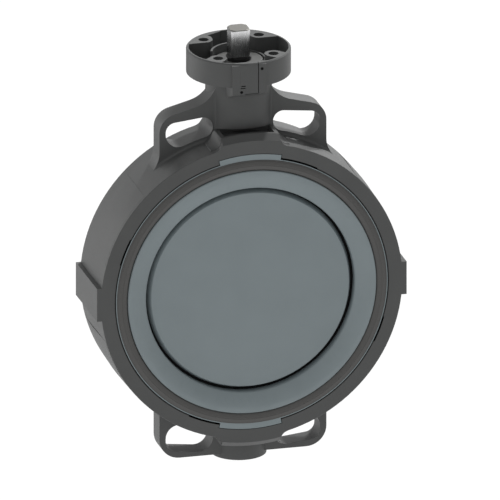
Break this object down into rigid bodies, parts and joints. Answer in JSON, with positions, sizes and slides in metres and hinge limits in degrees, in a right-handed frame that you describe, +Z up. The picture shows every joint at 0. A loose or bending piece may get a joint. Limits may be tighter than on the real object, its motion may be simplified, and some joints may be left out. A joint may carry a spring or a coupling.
{
  "type": "wafer butterfly valve",
  "caption": "Plastic wafer butterfly valve with a quarter-turn disc, bolt loops and a top flange with a bare square stem.",
  "frame": {"origin": "where the pipe's axis and the stem's axis cross, inside the body", "axes": "+Z up along the stem towards its square head, +Y along the pipe from the front face to the rear face, +X across"},
  "size_m": [0.2774, 0.0925, 0.3897],
  "materials": {
    "body_plastic": "fine moulded grain",
    "lining_plastic": "moulded satin",
    "seal_rubber": "matt",
    "bush_plastic": "turned satin",
    "oring_rubber": "matt",
    "cap_plastic": "moulded satin",
    "stem_steel": "ground",
    "clip_steel": "phosphated"
  },
  "bodies": {
    "valve_body": {"outer_body": "body_plastic", "front_inner_ring": "lining_plastic", "rear_inner_ring": "lining_plastic", "front_face_seal": "seal_rubber", "rear_face_seal": "seal_rubber", "seat_seal": "seal_rubber", "upper_bearing_bush": "bush_plastic", "lower_bearing_bush": "bush_plastic", "upper_bush_orings": "oring_rubber", "lower_bush_orings": "oring_rubber", "gland_cap": "cap_plastic", "gland_orings": "oring_rubber", "front_panel": "body_plastic", "thrust_washer": "bush_plastic", "bottom_cap": "cap_plastic", "bottom_cap_oring": "oring_rubber", "bottom_circlip": "clip_steel"},
    "closure": {"disc": "lining_plastic", "stem": "stem_steel", "stem_key": "stem_steel", "upper_disc_bush": "bush_plastic", "lower_disc_bush": "bush_plastic", "disc_bush_orings": "oring_rubber", "stem_circlip": "clip_steel"}
  },
  "joints": [
    {"name": "stem_turn", "type": "hinge", "parent": "valve_body", "child": "closure", "pos_m": [0, 0, 0], "axis": [0, 0, 1], "range_deg": [0, 90]}
  ]
}
